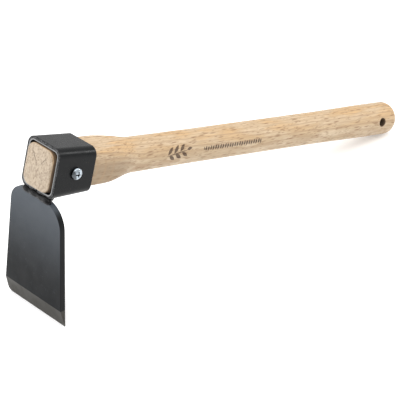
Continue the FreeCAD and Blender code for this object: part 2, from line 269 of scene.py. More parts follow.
def adopt(piece: bpy.types.Object, slot: Slot, material: bpy.types.Material,
          node: str) -> None:
    """Dresses a new piece and lets it stand for a node of the frame.

    Args:
        piece: The new piece.
        slot: The record's slot for its finish; not used.
        material: Its finish.
        node: The node that it replaces.
    """
    piece.data.materials.clear()
    piece.data.materials.append(material)
    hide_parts(node)
    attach(piece, BODY)
    log.info("%s: %d faces, stands for %s", piece.name, len(piece.data.polygons), node)


def dress(node: str, material: bpy.types.Material) -> None:
    """Gives a node of the frame a new finish, and leaves its shape alone.

    Args:
        node: The node's name.
        material: Its finish.
    """
    for slot in frame["nodes"][node].material_slots:
        slot.material = material
    log.info("%s: keeps its shape", node)


# ---- Shader graphs ----

class Graph:
    """A node tree being built, with one short call for each kind of node."""

    def __init__(self, tree: bpy.types.NodeTree) -> None:
        """Starts on a tree."""
        self.tree = tree

    def add(self, kind: str, **settings: object) -> bpy.types.Node:
        """Adds a node.

        Args:
            kind: The node's type.
            settings: Its properties.

        Returns:
            The node.
        """
        node = self.tree.nodes.new(kind)
        for name, value in settings.items():
            setattr(node, name, value)
        return node

    def feed(self, socket: Socket, value: object) -> None:
        """Links a socket to another, or sets it to a plain value."""
        if isinstance(value, Socket):
            self.tree.links.new(value, socket)
        else:
            socket.default_value = value

    def math(self, operation: str, *values: Value) -> Socket:
        """The result of one Math node.

        Args:
            operation: What it does.
            values: Its inputs in order.

        Returns:
            Its output.
        """
        node = self.add("ShaderNodeMath", operation=operation)
        for socket, value in zip(node.inputs, values):
            self.feed(socket, value)
        return node.outputs[0]

    def total(self, *values: Value) -> Socket:
        """The sum of several values."""
        result = values[0]
        for value in values[1:]:
            result = self.math("ADD", result, value)
        return result

    def product(self, *values: Value) -> Socket:
        """The product of several values."""
        result = values[0]
        for value in values[1:]:
            result = self.math("MULTIPLY", result, value)
        return result

    def minus(self, value: Value, taken: Value) -> Socket:
        """A value less what is taken from it."""
        return self.math("SUBTRACT", value, taken)

    def length(self, *parts: Value) -> Socket:
        """The length of a line from its parts along each axis."""
        return self.math("SQRT", self.total(*(self.product(part, part) for part in parts)))

    def highest(self, *values: Value) -> Socket:
        """The highest of several values."""
        result = values[0]
        for value in values[1:]:
            result = self.math("MAXIMUM", result, value)
        return result

    def fade(self, value: Value, start: Value, end: Value, low: float = 0.0,
             high: float = 1.0) -> Socket:
        """A smooth change from low, where value is start, to high, where it is end."""
        node = self.add("ShaderNodeMapRange", interpolation_type="SMOOTHSTEP")
        for socket, item in zip(node.inputs, (value, start, end, low, high)):
            self.feed(socket, item)
        return node.outputs["Result"]

    def scaled(self, vector: Socket, x: float, y: float, z: float) -> Socket:
        """The vector with its parts multiplied by x, y and z."""
        node = self.add("ShaderNodeVectorMath", operation="MULTIPLY")
        self.feed(node.inputs[0], vector)
        node.inputs[1].default_value = (x, y, z)
        return node.outputs[0]

    def parts(self, vector: Socket) -> tuple[Socket, Socket, Socket]:
        """The three parts of a vector."""
        node = self.add("ShaderNodeSeparateXYZ")
        self.feed(node.inputs[0], vector)
        return node.outputs[0], node.outputs[1], node.outputs[2]

    def vector(self, x: Value, y: Value, z: Value) -> Socket:
        """A vector from its three parts."""
        node = self.add("ShaderNodeCombineXYZ")
        for socket, value in zip(node.inputs, (x, y, z)):
            self.feed(socket, value)
        return node.outputs[0]

    def noise(self, vector: Socket, scale: Value, detail: float = 2.0,
              roughness: float = 0.5) -> Socket:
        """Cloudy noise from 0 to 1.

        Args:
            vector: Where it is read.
            scale: How many features a unit holds.
            detail: How many finer layers it has.
            roughness: How strong the finer layers are.

        Returns:
            The noise.
        """
        node = self.add("ShaderNodeTexNoise")
        self.feed(node.inputs["Vector"], vector)
        self.feed(node.inputs["Scale"], scale)
        node.inputs["Detail"].default_value = detail
        node.inputs["Roughness"].default_value = roughness
        return node.outputs["Fac"]

    def cells(self, vector: Socket) -> bpy.types.Node:
        """A Voronoi node with cells one unit wide."""
        node = self.add("ShaderNodeTexVoronoi")
        self.feed(node.inputs["Vector"], vector)
        node.inputs["Scale"].default_value = 1.0
        return node

    def blend(self, share: Value, first: object, second: object) -> Socket:
        """Two colours mixed.

        Args:
            share: How much of the second shows.
            first: A colour or a socket.
            second: A colour or a socket.

        Returns:
            The mixed colour.
        """
        node = self.add("ShaderNodeMix", data_type="RGBA")
        self.feed(node.inputs["Factor"], share)
        for name, colour in (("A", first), ("B", second)):
            socket = next(s for s in node.inputs if s.name == name and s.type == "RGBA")
            self.feed(socket, colour if isinstance(colour, Socket) else (*colour, 1.0))
        return next(s for s in node.outputs if s.type == "RGBA")

    def place(self, group: bpy.types.NodeTree, **inputs: object) -> bpy.types.Node:
        """Places a shared effect.

        Args:
            group: The effect's node group.
            inputs: Its inputs by name, with _ for a space.

        Returns:
            The group node.
        """
        node = self.add("ShaderNodeGroup", node_tree=group)
        for name, value in inputs.items():
            self.feed(node.inputs[name.replace("_", " ")], value)
        return node

    def tool_vector(self, axes: ToolAxes) -> Socket:
        """Object coordinates turned into tool millimetres.

        Args:
            axes: The tool's axes.

        Returns:
            The place on the tool.
        """
        shift, turn, scale = axes.to_frame.inverted().decompose()
        where = self.add("ShaderNodeTexCoord")
        node = self.add("ShaderNodeMapping", vector_type="POINT")
        self.feed(node.inputs["Vector"], where.outputs["Object"])
        node.inputs["Location"].default_value = shift
        node.inputs["Rotation"].default_value = turn.to_euler()
        node.inputs["Scale"].default_value = scale
        return node.outputs[0]

    def bump(self, height: Socket, depth: float, strength: float = 1.0) -> Socket:
        """A bumped normal.

        Args:
            height: The height, from 0 to 1.
            depth: How deep the whole range is, in millimetres.
            strength: How much of it shows.

        Returns:
            The normal.
        """
        node = self.add("ShaderNodeBump")
        node.inputs["Strength"].default_value = strength
        node.inputs["Distance"].default_value = depth * MM
        self.feed(node.inputs["Height"], height)
        return node.outputs["Normal"]


def new_material(name: str) -> tuple[bpy.types.Material, Graph, bpy.types.Node]:
    """An empty material.

    Args:
        name: Its name.

    Returns:
        The material, its graph and its Principled node.
    """
    material = bpy.data.materials.new(name)
    material.use_nodes = True
    shader = material.node_tree.nodes["Principled BSDF"]
    return material, Graph(material.node_tree), shader


def new_group(name: str, inputs: dict[str, object], outputs: tuple[str, ...]
              ) -> tuple[Graph, dict[str, Socket], bpy.types.Node]:
    """An empty shared effect.

    Args:
        name: Its name.
        inputs: The inputs' names and usual values, where None stands for a vector.
        outputs: The outputs' names, all of them plain numbers.

    Returns:
        Its graph, its input sockets by name, and its output node.
    """
    tree = bpy.data.node_groups.new(name, "ShaderNodeTree")
    for label, value in inputs.items():
        kind = "NodeSocketVector" if value is None else "NodeSocketFloat"
        socket = tree.interface.new_socket(name=label, in_out="INPUT", socket_type=kind)
        if value is not None:
            socket.default_value = value
    for label in outputs:
        tree.interface.new_socket(name=label, in_out="OUTPUT", socket_type="NodeSocketFloat")
    graph = Graph(tree)
    entry = graph.add("NodeGroupInput")
    sockets = {label: entry.outputs[label] for label in inputs}
    return graph, sockets, graph.add("NodeGroupOutput")


def ring_group() -> bpy.types.NodeTree:
    """Growth rings about a pith outside the piece, as their phase and their late wood.

    Returns:
        The node group.
    """
    graph, given, out = new_group(
        "growth_rings",
        {"Vector": None, "Pith Y": 0.0, "Pith Z": 0.0, "Width": 4.0, "Waver": 1.0, "Runout": 0.0},
        ("Phase", "Late", "Tone"))
    x, y, z = graph.parts(given["Vector"])
    radius = graph.length(graph.minus(y, given["Pith Y"]), graph.minus(z, given["Pith Z"]))
    slow = graph.noise(graph.scaled(given["Vector"], 0.011, 0.045, 0.045), 1.0, 1.5)
    swing = graph.product(graph.minus(slow, 0.5), given["Waver"])
    quick = graph.noise(graph.scaled(given["Vector"], 0.05, 0.3, 0.3), 1.0, 2.0)
    shiver = graph.product(graph.minus(quick, 0.5), given["Waver"], 0.22)
    depth = graph.total(radius, swing, shiver, graph.product(x, given["Runout"]))
    count = graph.math("DIVIDE", depth, given["Width"])
    phase = graph.math("FRACT", count)
    rise_in = graph.fade(phase, 0.42, 0.9)
    drop_out = graph.fade(phase, 0.93, 1.0, 1.0, 0.0)
    late = graph.product(rise_in, drop_out)
    number = graph.add("ShaderNodeTexWhiteNoise", noise_dimensions="1D")
    graph.feed(number.inputs["W"], graph.math("FLOOR", count))
    for name, value in (("Phase", phase), ("Late", late), ("Tone", number.outputs["Value"])):
        graph.feed(out.inputs[name], value)
    return graph.tree


def pore_group() -> bpy.types.NodeTree:
    """Open vessels that run along X: dashes on a side, dots on an end.

    Returns:
        The node group.
    """
    graph, given, out = new_group(
        "open_pores",
        {"Vector": None, "Length": 12.0, "Spacing": 1.7, "Share": 0.5, "Slope": 0.0},
        ("Mask",))
    x, y, z = graph.parts(given["Vector"])
    slanted = graph.minus(z, graph.product(x, given["Slope"]))
    sizes = (given["Length"], given["Spacing"], given["Spacing"])
    place = graph.vector(*(graph.math("DIVIDE", part, size)
                           for part, size in zip((x, y, slanted), sizes)))
    cell = graph.cells(place)
    pick = graph.parts(cell.outputs["Color"])[0]
    present = graph.math("LESS_THAN", pick, given["Share"])
    width = graph.math("MULTIPLY_ADD", pick, -0.12, 0.44)
    core = graph.minus(1.0, graph.fade(cell.outputs["Distance"], 0.12, width))
    graph.feed(out.inputs["Mask"], graph.product(core, present))
    return graph.tree


def leaf_group() -> bpy.types.NodeTree:
    """One pointed leaf on a flat place (U, V), solid inside and soft at its rim.

    Returns:
        The node group.
    """
    graph, given, out = new_group(
        "leaf", {"U": 0.0, "V": 0.0, "Centre U": 0.0, "Centre V": 0.0, "Turn": 0.0,
                 "Half Length": 4.0, "Half Width": 1.5, "Softness": 0.3}, ("Mask",))
    u = graph.minus(given["U"], given["Centre U"])
    v = graph.minus(given["V"], given["Centre V"])
    cosine = graph.math("COSINE", given["Turn"])
    sine = graph.math("SINE", given["Turn"])
    along = graph.total(graph.product(u, cosine), graph.product(v, sine))
    across = graph.minus(graph.product(v, cosine), graph.product(u, sine))
    reach = graph.math("DIVIDE", along, given["Half Length"])
    room = graph.product(graph.minus(1.0, graph.product(reach, reach)), given["Half Width"])
    inside = graph.minus(room, graph.math("ABSOLUTE", across))
    rim = graph.product(given["Softness"], -1.0)
    graph.feed(out.inputs["Mask"], graph.fade(inside, rim, given["Softness"]))
    return graph.tree


def speckle_group() -> bpy.types.NodeTree:
    """Sparse specks and smears, such as what settles on a surface, or scuffs.

    Returns:
        The node group.
    """
    graph, given, out = new_group(
        "specks", {"Vector": None, "Scale": 1.0, "Cover": 0.4}, ("Mask",))
    coarse = graph.noise(given["Vector"], graph.product(given["Scale"], 0.16), 3.0)
    fine = graph.noise(given["Vector"], given["Scale"], 4.0, 0.65)
    amount = graph.product(coarse, fine)
    start = graph.minus(0.5, graph.product(given["Cover"], 0.4))
    graph.feed(out.inputs["Mask"], graph.fade(amount, start, 0.52))
    return graph.tree


def peel_group() -> bpy.types.NodeTree:
    """The soft ripple of sprayed paint, as a height and an uneven gloss.

    Returns:
        The node group.
    """
    graph, given, out = new_group(
        "paint_peel", {"Vector": None, "Scale": 0.8, "Gloss Low": 0.3, "Gloss High": 0.45},
        ("Height", "Roughness"))
    ripple = graph.noise(given["Vector"], given["Scale"], 1.0)
    grit = graph.noise(given["Vector"], graph.product(given["Scale"], 5.0), 2.0)
    height = graph.total(graph.product(ripple, 0.8), graph.product(grit, 0.2))
    patches = graph.noise(given["Vector"], graph.product(given["Scale"], 0.09), 3.0)
    span = graph.minus(given["Gloss High"], given["Gloss Low"])
    uneven = graph.fade(patches, 0.32, 0.68)
    graph.feed(out.inputs["Height"], height)
    graph.feed(out.inputs["Roughness"],
               graph.math("MULTIPLY_ADD", uneven, span, given["Gloss Low"]))
    return graph.tree


@dataclass(frozen=True)
class Effects:
    """The shared effects, each built once."""

    rings: bpy.types.NodeTree
    pores: bpy.types.NodeTree
    leaf: bpy.types.NodeTree
    specks: bpy.types.NodeTree
    peel: bpy.types.NodeTree

    @classmethod
    def build(cls) -> "Effects":
        """Builds every shared effect."""
        return cls(ring_group(), pore_group(), leaf_group(), speckle_group(), peel_group())


# ---- Finishes ----

@dataclass(frozen=True)
class BurntMark:
    """A generic leaf sprig and a row of dashes, burnt into the grip's flank.

    Attributes:
        radius: The grip's radius, on which the mark is laid out.
        lift: How far its middle line lies above the screw's side, in degrees.
        leaves: Each leaf as (along, up, turn in degrees, half length, half width).
        dashes: Where the row of dashes starts and ends.
        pitch: From one dash to the next.
        row_up: How far the row lies above the mark's middle line.
        slant: How far a dash leans, in degrees.
        dash_half: Half a long dash, how much less a short one has, and half their width.
        raggedness: How far the burnt rim strays.
    """

    radius: float = 16.75
    lift: float = 11.0
    leaves: tuple[tuple[float, float, float, float, float], ...] = (
        (158.0, -0.8, 8.0, 16.0, 0.55),
        (148.5, 2.1, 48.0, 4.9, 1.8),
        (156.6, 3.1, 48.0, 5.1, 1.9),
        (164.7, 3.9, 46.0, 4.7, 1.8),
        (151.0, -4.8, -32.0, 4.7, 1.8),
        (159.4, -4.0, -32.0, 5.0, 1.9),
        (167.8, -2.7, -30.0, 4.5, 1.7),
        (174.3, 2.2, 12.0, 3.6, 1.4),
    )
    dashes: Span = (194.0, 276.0)
    pitch: float = 3.4
    row_up: float = -0.4
    slant: float = 72.0
    dash_half: tuple[float, float, float] = (2.9, 0.7, 1.3)
    raggedness: float = 0.5

    def row(self, graph: Graph, effects: Effects, x: Socket, along: Socket,
            up: Socket) -> Socket:
        """The row of slanted dashes, every second one shorter.

        Args:
            graph: The material's graph.
            effects: The shared effects.
            x: The place along the handle.
            along: The same place, strayed by the ragged rim.
            up: The place round the handle, strayed too.

        Returns:
            1 on a dash and 0 off it.
        """
        longest, less, half_width = self.dash_half
        wrapped = graph.math("WRAP", along, self.pitch / 2, -self.pitch / 2)
        number = graph.math("FLOOR", graph.math("DIVIDE", along, self.pitch))
        half = graph.math("MULTIPLY_ADD", graph.math("PINGPONG", number, 1.0), -less, longest)
        dash = graph.place(effects.leaf, U=wrapped, V=up, Centre_V=self.row_up,
                           Turn=math.radians(self.slant), Half_Length=half,
                           Half_Width=half_width)
        begun = graph.math("GREATER_THAN", x, self.dashes[0])
        unfinished = graph.math("LESS_THAN", x, self.dashes[1])
        return graph.product(dash.outputs["Mask"], begun, unfinished)

    def mask(self, graph: Graph, effects: Effects, vector: Socket) -> Socket:
        """The mark's share of each place.

        Args:
            graph: The material's graph.
            effects: The shared effects.
            vector: The place on the tool.

        Returns:
            1 on the mark and 0 off it.
        """
        x, y, z = graph.parts(vector)
        ragged = graph.minus(graph.noise(vector, 1.3, 2.0), 0.5)
        angle = graph.math("ARCTAN2", z, graph.product(y, -1.0))
        middle = math.radians(self.lift) * self.radius
        arc = graph.math("MULTIPLY_ADD", angle, self.radius, -middle)
        up = graph.math("MULTIPLY_ADD", ragged, self.raggedness, arc)
        along = graph.math("MULTIPLY_ADD", ragged, -self.raggedness, x)
        shapes = []
        for centre_u, centre_v, turn, half_length, half_width in self.leaves:
            leaf = graph.place(effects.leaf, U=along, V=up, Centre_U=centre_u,
                               Centre_V=centre_v, Turn=math.radians(turn),
                               Half_Length=half_length, Half_Width=half_width)
            shapes.append(leaf.outputs["Mask"])
        shapes.append(self.row(graph, effects, x, along, up))
        return graph.product(graph.highest(*shapes), graph.math("LESS_THAN", y, 0.0))


@dataclass(frozen=True)
class PoreKind:
    """One size of open pore.

    Attributes:
        length: The length of a pore's cell.
        spacing: Its width.
        early: How early the wood is where its share starts and stops rising.
        share: How many cells hold a pore, from there to there.
        slope: How far the pores run out of line.
        strength: How dark they show.
    """

    length: float
    spacing: float
    early: Span
    share: Span
    slope: float
    strength: float


@dataclass(frozen=True)
class OiledWood:
    """Pale ring-porous wood, sanded and lightly oiled.

    Attributes:
        pale: The palest wood.
        tan: Its darker clouds.
        painted_warm_light: A painted warm light: an orange cast, in clouds, that grows towards the
            upper side.
        late: Late wood, and the streaks of its fibres.
        pore: Open pores on the sides.
        burnt: The burnt mark.
        shade: Painted shade on the flare's lower flank.
        end_grain: The sawn nose.
        end_pore: Open pores on the nose.
        painted_gap_shade: Painted shade beside the eye and in the hanging hole.
        pith: Where the rings' middle lies, as (Y, Z).
        ring_width: The width of a year's growth.
        pore_kinds: The sizes of pore.
        shade_along: From where to where along the handle the painted shade deepens.
        shade_up: From what height down to what height it deepens.
        arch_front: Where the arched grain of the flare has its middle.
        arch_reach: How far the arches reach from it.
        arch_pitch: From one arch to the next.
        nose_plane: Where the side grain starts to turn into end grain, and where it has.
        hole_edge: From where to where the hanging hole's stain fades.
        mark: The burnt mark.
    """

    pale: Colour = (0.55, 0.44, 0.305)
    tan: Colour = (0.43, 0.325, 0.205)
    painted_warm_light: Colour = (0.66, 0.40, 0.17)
    late: Colour = (0.33, 0.22, 0.125)
    pore: Colour = (0.19, 0.10, 0.045)
    burnt: Colour = (0.055, 0.03, 0.018)
    shade: Colour = (0.22, 0.155, 0.095)
    end_grain: Colour = (0.40, 0.325, 0.24)
    end_pore: Colour = (0.15, 0.105, 0.07)
    painted_gap_shade: Colour = (0.07, 0.043, 0.026)
    pith: Span = (-70.0, -25.0)
    ring_width: float = 3.7
    pore_kinds: tuple[PoreKind, ...] = (
        PoreKind(15.0, 2.5, (0.1, 0.9), (0.45, 0.9), 0.05, 0.75),
        PoreKind(7.5, 1.5, (0.0, 1.0), (0.6, 0.95), 0.12, 0.65),
    )
    shade_along: Span = (110.0, 80.0)
    shade_up: Span = (14.0, -2.0)
    arch_front: float = 38.0
    arch_reach: float = 46.0
    arch_pitch: float = 10.0
    nose_plane: Span = (-1.9, -2.7)
    hole_edge: Span = (4.7, 5.2)
    mark: BurntMark = BurntMark()

    def pores(self, graph: Graph, effects: Effects, vector: Socket, phase: Socket) -> Socket:
        """The open pores, densest where a ring begins.

        Args:
            graph: The material's graph.
            effects: The shared effects.
            vector: The place on the tool.
            phase: How far through its ring the wood is.

        Returns:
            How strongly a pore shows.
        """
        early = graph.fade(phase, 0.0, 0.55, 1.0, 0.0)
        masks = []
        for kind in self.pore_kinds:
            share = graph.fade(early, *kind.early, *kind.share)
            pores = graph.place(effects.pores, Vector=vector, Length=kind.length,
                                Spacing=kind.spacing, Share=share, Slope=kind.slope)
            masks.append(graph.product(pores.outputs["Mask"], kind.strength))
        return graph.highest(*masks)

    def side_grain(self, graph: Graph, vector: Socket, rings: bpy.types.Node, pores: Socket,
                   broad: Socket, fibres: Socket) -> Socket:
        """The colour of the handle's sides.

        Args:
            graph: The material's graph.
            vector: The place on the tool.
            rings: The growth rings.
            pores: How strongly a pore shows.
            broad: The wood's clouds.
            fibres: Its fibres.

        Returns:
            The colour.
        """
        # Painted warm light: the wood turns more orange towards the upper side.
        height = graph.fade(graph.parts(vector)[2], -4.0, 17.0)
        painted_light_share = graph.product(graph.fade(broad, 0.1, 1.0, 0.35, 1.0), height)
        colour = graph.blend(broad, self.pale, self.tan)
        colour = graph.blend(graph.product(painted_light_share, 0.6), colour, self.painted_warm_light)
        tone = graph.math("MULTIPLY_ADD", rings.outputs["Tone"], 0.35, 0.38)
        colour = graph.blend(graph.product(rings.outputs["Late"], tone), colour, self.late)
        colour = graph.blend(graph.fade(fibres, 0.34, 0.66, 0.0, 0.55), colour, self.late)
        return graph.blend(graph.product(pores, 0.92), colour, self.pore)

    def on_flare(self, graph: Graph, vector: Socket, colour: Socket) -> Socket:
        """Painted shade on the flare's lower flank, and the arches that the lathe lays bare above
        it.

        Args:
            graph: The material's graph.
            vector: The place on the tool.
            colour: The side grain.

        Returns:
            The colour with both.
        """
        x, y, z = graph.parts(vector)
        # Painted shade: darker low on the flare, towards the eye.
        shaded = graph.product(graph.fade(x, *self.shade_along), graph.fade(z, *self.shade_up),
                               0.62)
        colour = graph.blend(shaded, colour, self.shade)
        slow = graph.minus(graph.noise(vector, 0.07, 2.0), 0.5)
        bow = graph.total(graph.product(z, 1.15), graph.product(slow, 9.0))
        reach = graph.length(bow, graph.minus(x, self.arch_front))
        band = graph.math("PINGPONG", graph.math("DIVIDE", reach, self.arch_pitch), 0.5)
        arched = graph.product(graph.fade(band, 0.3, 0.48), graph.fade(x, 104.0, 86.0),
                               graph.fade(z, 15.0, 8.0), graph.fade(y, -8.0, -14.0),
                               graph.fade(reach, self.arch_reach, self.arch_reach - 16.0), 0.6)
        return graph.blend(arched, colour, self.late)

    def on_nose(self, graph: Graph, vector: Socket, colour: Socket) -> Socket:
        """The end grain of the sawn nose.

        Args:
            graph: The material's graph.
            vector: The place on the tool.
            colour: The side grain.

        Returns:
            The colour with it.
        """
        dot = graph.cells(graph.scaled(vector, 0.01, 0.55, 0.42))
        chance = graph.parts(dot.outputs["Color"])[1]
        dots = graph.product(graph.fade(dot.outputs["Distance"], 0.2, 0.5, 1.0, 0.0),
                             graph.fade(chance, 0.1, 0.7))
        clouds = graph.noise(graph.scaled(vector, 0.05, 0.42, 0.26), 1.0, 3.0, 0.7)
        ended = graph.blend(graph.fade(clouds, 0.4, 0.62, 0.0, 0.42), self.end_grain,
                            self.end_pore)
        ended = graph.blend(graph.product(dots, 0.7), ended, self.end_pore)
        ending = graph.fade(graph.parts(vector)[0], *self.nose_plane)
        return graph.blend(graph.product(ending, 0.92), colour, ended)

    def with_painted_gap_shade(self, graph: Graph, axes: ToolAxes, vector: Socket, colour: Socket) -> Socket:
        """Painted shade beside the eye's front and in the hanging hole.

        Args:
            graph: The material's graph.
            axes: The tool's axes.
            vector: The place on the tool.
            colour: The wood so far.

        Returns:
            The colour with it.
        """
        x, y, z = graph.parts(vector)
        # Painted shade: darker round the nose where it meets the eye, and inside the hanging hole.
        tucked = graph.product(graph.fade(x, -2.4, -1.2), graph.fade(x, 7.0, 3.0))
        turn = math.radians(axes.hole_turn)
        beside = graph.total(graph.product(y, math.sin(turn)), graph.product(z, math.cos(turn)))
        off = graph.length(graph.minus(x, axes.hole_from_front), beside)
        bored = graph.fade(off, *self.hole_edge, 1.0, 0.0)
        return graph.blend(graph.product(graph.highest(tucked, bored), 0.88), colour, self.painted_gap_shade)

    def build(self, axes: ToolAxes, effects: Effects) -> bpy.types.Material:
        """Makes the material.

        Args:
            axes: The tool's axes.
            effects: The shared effects.

        Returns:
            The material.
        """
        material, graph, shader = new_material("oiled_wood")
        vector = graph.tool_vector(axes)
        rings = graph.place(effects.rings, Vector=vector, Pith_Y=self.pith[0],
                            Pith_Z=self.pith[1], Width=self.ring_width, Waver=7.0, Runout=0.012)
        pores = self.pores(graph, effects, vector, rings.outputs["Phase"])
        clouds = graph.noise(graph.scaled(vector, 0.02, 0.11, 0.11), 1.0, 2.0)
        broad = graph.fade(clouds, 0.35, 0.68)
        fibres = graph.noise(graph.scaled(vector, 0.06, 1.6, 1.6), 1.0, 3.0, 0.6)
        colour = self.side_grain(graph, vector, rings, pores, broad, fibres)
        colour = self.on_flare(graph, vector, colour)
        colour = self.on_nose(graph, vector, colour)
        colour = self.with_painted_gap_shade(graph, axes, vector, colour)
        mark = self.mark.mask(graph, effects, vector)
        scorch = graph.fade(graph.noise(vector, 0.9, 3.0), 0.2, 0.7, 0.72, 0.95)
        colour = graph.blend(graph.product(mark, scorch), colour, self.burnt)
        graph.feed(shader.inputs["Base Color"], colour)
        rough = graph.total(graph.product(pores, 0.2), graph.product(broad, 0.08),
                            graph.product(mark, 0.15), 0.46)
        graph.feed(shader.inputs["Roughness"], rough)
        relief = graph.total(graph.product(pores, -0.6), graph.product(mark, -0.8),
                             graph.product(rings.outputs["Late"], 0.15),
                             graph.product(fibres, 0.25))
        graph.feed(shader.inputs["Normal"], graph.bump(relief, 0.22, 0.8))
        shader.inputs["Specular IOR Level"].default_value = 0.35
        return material


@dataclass(frozen=True)
class SatinPaint:
    """Sprayed satin black on steel.

    Attributes:
        name: The material's name.
        film: The paint's colour.
        dust_and_sheen: The colour of what has settled on it.
        specular: Its specular level.
        gloss: Its roughness, from the glossiest to the dullest patch.
        rubbed: Where the eye's rims are rubbed.
        painted_rim_highlight: A painted highlight, a light line on the strip's front edge.
        bore: Half width and height of the eye's inside up to its bends, and their radius.
    """

    name: str = "eye_satin_black"
    film: Colour = (0.0055, 0.006, 0.0065)
    dust_and_sheen: Colour = (0.03, 0.03, 0.03)
    specular: float = 0.14
    gloss: Span = (0.24, 0.33)
    rubbed: Colour = (0.13, 0.13, 0.135)
    painted_rim_highlight: Colour = (0.24, 0.243, 0.247)
    bore: tuple[float, float, float] = (14.5, 16.3, 4.5)

    def start(self, axes: ToolAxes, effects: Effects
              ) -> tuple[bpy.types.Material, Graph, bpy.types.Node, Socket, Socket]:
        """The film itself, which the painted pieces share.

        Args:
            axes: The tool's axes.
            effects: The shared effects.

        Returns:
            The material, its graph, its shader, the place on the tool and the film's colour.
        """
        material, graph, shader = new_material(self.name)
        vector = graph.tool_vector(axes)
        peel = graph.place(effects.peel, Vector=vector, Scale=0.7, Gloss_Low=self.gloss[0],
                           Gloss_High=self.gloss[1])
        specks = graph.place(effects.specks, Vector=vector, Scale=1.1, Cover=0.45)
        colour = graph.blend(graph.product(specks.outputs["Mask"], 0.35), self.film, self.dust_and_sheen)
        graph.feed(shader.inputs["Roughness"], peel.outputs["Roughness"])
        graph.feed(shader.inputs["Normal"], graph.bump(peel.outputs["Height"], 0.012))
        shader.inputs["Specular IOR Level"].default_value = self.specular
        return material, graph, shader, vector, colour

    def rim_highlight_mask(self, graph: Graph, vector: Socket) -> Socket:
        """A painted highlight: the light line round the strip's front edge, just outside the eye's
        bore.
        """
        x, y, z = graph.parts(vector)
        half_width, half_height, bend = self.bore
        past = [graph.highest(graph.minus(graph.math("ABSOLUTE", part), reach), 0.0)
                for part, reach in ((y, half_width), (z, half_height))]
        off = graph.length(*past)
        return graph.product(graph.fade(off, bend, bend + 0.5),
                             graph.fade(off, bend + 1.0, bend + 1.6, 1.0, 0.0),
                             graph.fade(x, 0.5, 0.8, 1.0, 0.0))

    def build(self, axes: ToolAxes, effects: Effects) -> bpy.types.Material:
        """Makes the material, rubbed a little at the eye's two rims, with a painted highlight on
        the front edge.

        Args:
            axes: The tool's axes.
            effects: The shared effects.

        Returns:
            The material.
        """
        material, graph, shader, vector, colour = self.start(axes, effects)
        x = graph.parts(vector)[0]
        broken = graph.fade(graph.noise(vector, 0.5, 4.0, 0.65), 0.42, 0.66)
        front = graph.fade(x, 0.15, 0.6, 1.0, 0.0)
        back = graph.fade(x, axes.eye_depth - 0.5, axes.eye_depth - 0.1)
        rubbed = graph.product(graph.highest(front, back), broken, 0.5)
        colour = graph.blend(rubbed, colour, self.rubbed)
        # Painted highlight: a light line along the strip's front edge.
        colour = graph.blend(self.rim_highlight_mask(graph, vector), colour, self.painted_rim_highlight)
        graph.feed(shader.inputs["Base Color"], colour)
        return material


@dataclass(frozen=True)
class BladePaint(SatinPaint):
    """Satin black with a blue-grey cast, thinner and browner on the ground bevel, with a painted
    reflection and painted shade.

    Attributes:
        side: The colour of the plate's two sides, a near-black painted shade.
        edge_turn: How deep below a face its rounded edge starts to be side, and is side.
        shoulders: From where to where across the plate each shoulder turns into its side.
        painted_sheen_span: From where to where down the plate the painted reflection fades out.
        bevel: The colour of the ground bevel, darkest.
        bevel_lift: How much lighter its lightest strokes are.
        bevel_from: Where the bevel starts, down the plate.
        back_margin: How far before the back face the ground steel ends.
    """

    name: str = "blade_satin_black"
    film: Colour = (0.004, 0.0046, 0.0055)
    dust_and_sheen: Colour = (0.068, 0.078, 0.091)
    specular: float = 0.12
    gloss: Span = (0.38, 0.5)
    side: Colour = (0.006, 0.0063, 0.007)
    edge_turn: Span = (0.067, 0.235)
    shoulders: tuple[Span, Span] = ((26.9, 33.2), (-23.9, -32.55))
    painted_sheen_span: Span = (-20.0, 92.0)
    bevel: Colour = (0.032, 0.030, 0.026)
    bevel_lift: float = 1.35
    bevel_from: float = 104.8
    back_margin: float = 0.15

    def side_mask(self, graph: Graph, axes: ToolAxes, y: Socket, depth: Socket) -> Socket:
        """Picks the plate's two sides.

        Args:
            graph: The material's graph.
            axes: The tool's axes.
            y: The place across the plate.
            depth: The place behind its front face.

        Returns:
            1 on the sides and 0 on the faces.
        """
        skin, full = self.edge_turn
        behind = graph.fade(depth, skin, full)
        before = graph.fade(depth, axes.blade_thickness - skin, axes.blade_thickness - full)
        outer = graph.highest(*(graph.fade(y, *span) for span in self.shoulders))
        return graph.product(behind, before, outer)

    def build(self, axes: ToolAxes, effects: Effects) -> bpy.types.Material:
        """Makes the material.

        Args:
            axes: The tool's axes.
            effects: The shared effects.

        Returns:
            The material.
        """
        material, graph, shader, vector, colour = self.start(axes, effects)
        lean = math.radians(axes.blade_tilt)
        x, y, z = graph.parts(vector)
        below = graph.minus(axes.blade_top, z)
        down = graph.total(graph.product(x, math.sin(lean)),
                           graph.product(below, math.cos(lean)))
        depth = graph.minus(graph.product(x, math.cos(lean)),
                            graph.product(below, math.sin(lean)))
        # Painted reflection: lighter blue-grey at the top of the plate, fading out down it.
        film = graph.blend(graph.fade(down, *self.painted_sheen_span, 0.98, 0.0), colour, self.dust_and_sheen)
        # Painted shade: the plate's two sides stay near-black.
        film = graph.blend(self.side_mask(graph, axes, y, depth), film, self.side)
        strokes = graph.noise(graph.vector(graph.product(y, 1.6), graph.product(down, 0.08),
                                           0.0), 1.0, 3.0)
        light = tuple(part * self.bevel_lift for part in self.bevel)
        bevel = graph.blend(graph.fade(strokes, 0.3, 0.7), self.bevel, light)
        in_front = graph.math("LESS_THAN", depth, axes.blade_thickness - self.back_margin)
        ground = graph.product(graph.fade(down, self.bevel_from - 0.3, self.bevel_from + 0.5),
                               in_front)
        graph.feed(shader.inputs["Base Color"], graph.blend(ground, film, bevel))
        return material


